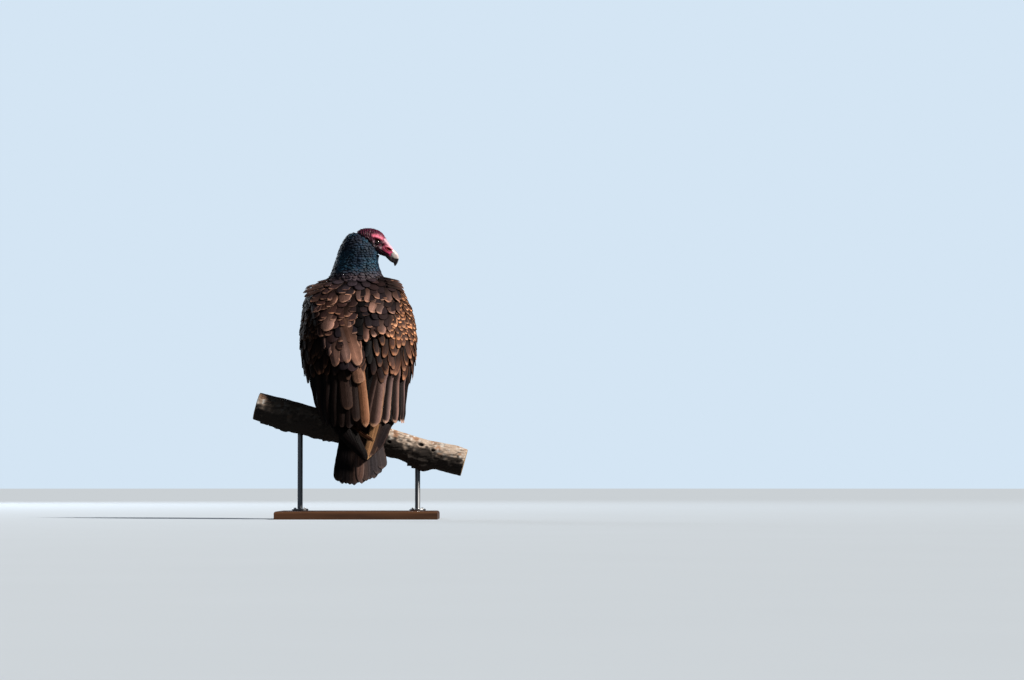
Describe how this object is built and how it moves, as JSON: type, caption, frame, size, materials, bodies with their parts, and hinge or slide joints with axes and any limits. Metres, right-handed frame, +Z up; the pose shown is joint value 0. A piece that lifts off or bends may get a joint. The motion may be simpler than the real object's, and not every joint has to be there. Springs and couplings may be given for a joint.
{
  "type": "turkey vulture",
  "caption": "Life-size still turkey vulture with folded wings and turned head, gripping a short sloping branch on a flat base with two rods.",
  "frame": {"origin": "middle of the stand base's underside, on the floor", "axes": "+Z up; the bird's body faces +Y; +X is the bird's right, to which its head is turned and the branch slopes down"},
  "size_m": [0.4813, 0.2716, 0.6532],
  "materials": {
    "face_skin": "bare wrinkled red skin, semi-matt",
    "horn": "smooth ivory horn, semi-gloss",
    "eye": "dark brown, glossy and opaque",
    "hood_plumage": "blue-green black feathers with a soft sheen",
    "body_plumage": "blackish brown feathers, matt",
    "brown_plumage": "brown feathers with tawny edges",
    "flight_feathers": "long dark feathers with pale edges",
    "leg_skin": "scaly dull pink skin",
    "claw_horn": "dark horn",
    "bark": "weathered, cracked dead wood",
    "stained_wood": "stained and waxed hardwood",
    "steel": "brushed"
  },
  "bodies": {
    "root": {"head": "face_skin", "bill_upper": "horn", "bill_lower": "horn", "eye_left": "eye", "eye_right": "eye", "neck": "hood_plumage", "trunk": "body_plumage", "tail": "flight_feathers", "scapulars_left": "brown_plumage", "wing_left": "brown_plumage", "secondaries_left": "flight_feathers", "primaries_left": "flight_feathers", "thigh_left": "body_plumage", "foot_left": "leg_skin", "claw_left_inner": "claw_horn", "claw_left_middle": "claw_horn", "claw_left_outer": "claw_horn", "claw_left_hind": "claw_horn", "scapulars_right": "brown_plumage", "wing_right": "brown_plumage", "secondaries_right": "flight_feathers", "primaries_right": "flight_feathers", "thigh_right": "body_plumage", "foot_right": "leg_skin", "claw_right_inner": "claw_horn", "claw_right_middle": "claw_horn", "claw_right_outer": "claw_horn", "claw_right_hind": "claw_horn", "perch": "bark", "stand_base": "stained_wood", "stand_rod_left": "steel", "stand_rod_right": "steel"}
  },
  "joints": []
}
